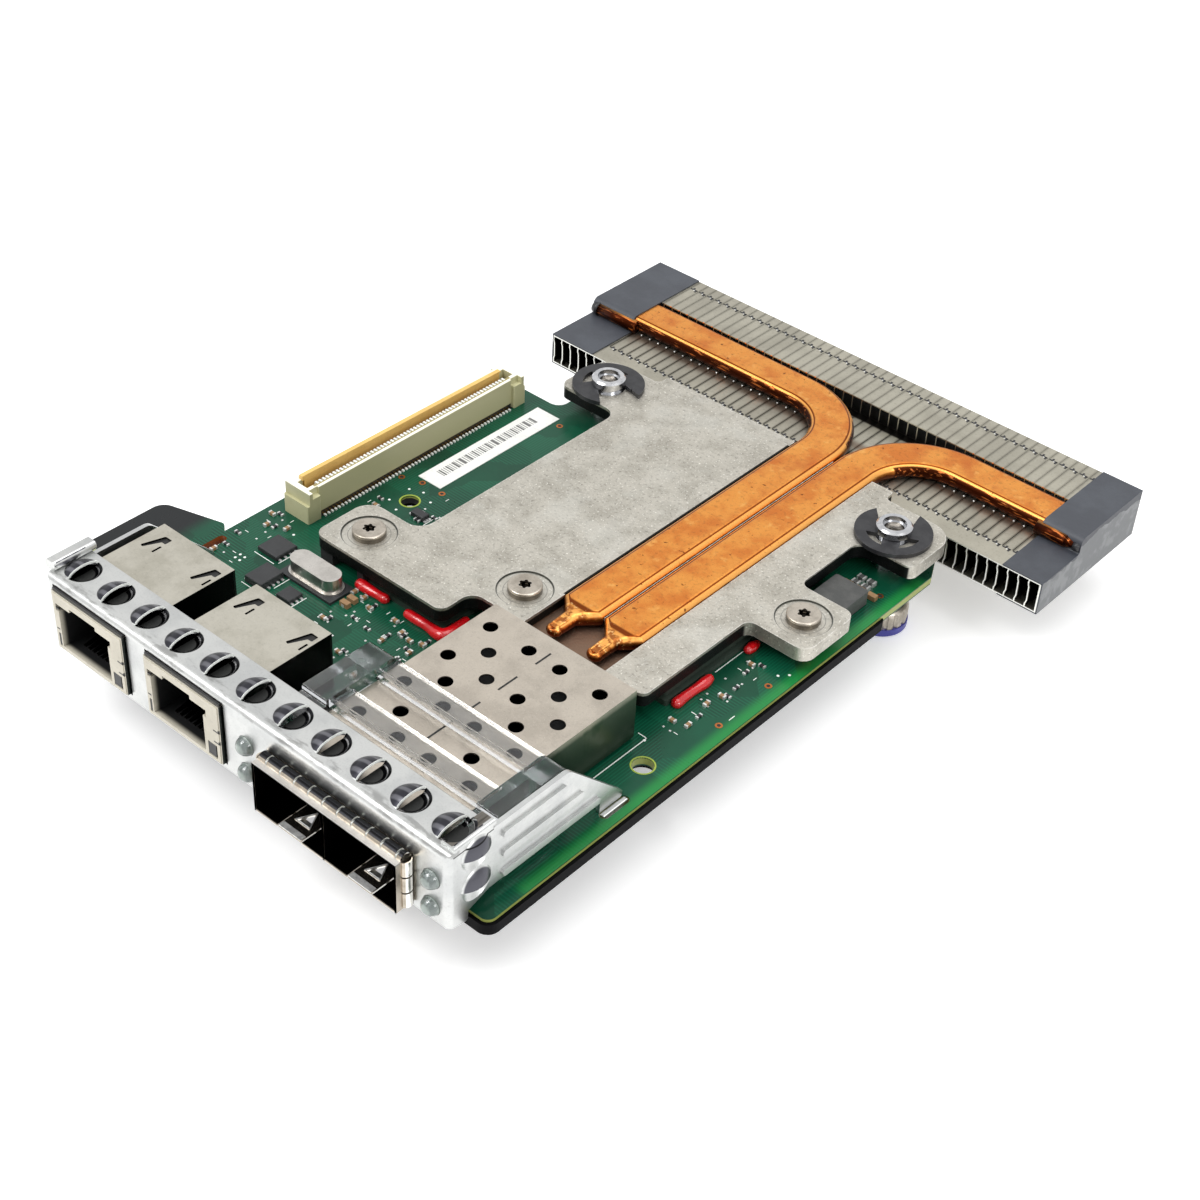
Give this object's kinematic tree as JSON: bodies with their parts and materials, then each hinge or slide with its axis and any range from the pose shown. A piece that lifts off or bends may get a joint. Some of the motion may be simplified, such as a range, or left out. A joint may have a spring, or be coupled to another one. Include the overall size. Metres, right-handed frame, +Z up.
{
  "type": "mezzanine network card",
  "caption": "Mezzanine network card with louvred faceplate, copper-pair jacks, a pluggable port cage, a long board connector and a heatsink plate with copper pipes to a wide fin stack.",
  "frame": {"origin": "centre of the right-hand locating hole at the circuit board's top face", "axes": "+X to the right along the faceplate seen from its ports, +Y from the faceplate to the fin stack, +Z up from the board's component face"},
  "size_m": [0.123, 0.1539, 0.0285],
  "materials": {
    "board_green": "solder-resist sheen",
    "tray_black": "fine matt",
    "bracket_steel": "bright, lightly brushed",
    "cage_steel": "warm nickel plate",
    "spring_steel": "bright",
    "clear_plastic": "clear",
    "port_black": "moulded",
    "jack_cream": "moulded",
    "contact_gold": "gold plate",
    "connector_ivory": "moulded",
    "plate_grey": "blasted",
    "pipe_copper": "bare copper, heat marked",
    "fin_metal": "thin bare fins",
    "tape_grey": "smooth tape",
    "screw_steel": "nickel plate",
    "sleeve_steel": "turned",
    "clip_black": "black oxide",
    "cap_blue": "moulded",
    "package_dark": "laminate",
    "pad_grey": "soft",
    "glue_red": "glossy",
    "crystal_metal": "drawn can",
    "chip_black": "moulded",
    "inductor_grey": "pressed powder",
    "capacitor_tan": "ceramic",
    "label_white": "paper film"
  },
  "bodies": {
    "card": {"circuit_board": "board_green", "board_tray": "tray_black", "faceplate": "bracket_steel", "sfp_cage": "cage_steel", "sfp_divider": "cage_steel", "sfp_latch_tongues": "spring_steel", "sfp_spring_fingers": "spring_steel", "light_pipe": "clear_plastic", "mezzanine_housing": "connector_ivory", "mezzanine_contacts": "contact_gold", "heatsink_plate": "plate_grey", "heat_pipe_left": "pipe_copper", "heat_pipe_right": "pipe_copper", "fin_stack": "fin_metal", "fin_tape_left": "tape_grey", "fin_tape_right": "tape_grey", "plate_screws": "screw_steel", "plate_posts": "contact_gold", "controller_package": "package_dark", "second_package": "package_dark", "controller_pad": "pad_grey", "second_pad": "pad_grey", "package_glue": "glue_red", "crystal_can": "crystal_metal", "crystal_foot": "chip_black", "board_chips": "chip_black", "power_inductor": "inductor_grey", "chip_capacitors": "capacitor_tan", "board_label": "label_white", "rj45_shield_left": "cage_steel", "rj45_insert_left": "jack_cream", "rj45_contacts_left": "contact_gold", "sfp_host_connector_left": "port_black", "screw_sleeve_left": "sleeve_steel", "retaining_clip_left": "clip_black", "rj45_shield_right": "cage_steel", "rj45_insert_right": "jack_cream", "rj45_contacts_right": "contact_gold", "sfp_host_connector_right": "port_black", "screw_sleeve_right": "sleeve_steel", "retaining_clip_right": "clip_black"},
    "screw_left": {"captive_screw_left": "screw_steel", "screw_cap_left": "cap_blue"},
    "screw_right": {"captive_screw_right": "screw_steel", "screw_cap_right": "cap_blue"}
  },
  "joints": [
    {"name": "turn_screw_left", "type": "hinge", "parent": "card", "child": "screw_left", "pos_m": [-0.0663, 0.0674, 0], "axis": [0, 0, 1], "continuous": true},
    {"name": "turn_screw_right", "type": "hinge", "parent": "card", "child": "screw_right", "pos_m": [-0.0028, 0.0674, 0], "axis": [0, 0, 1], "continuous": true}
  ]
}
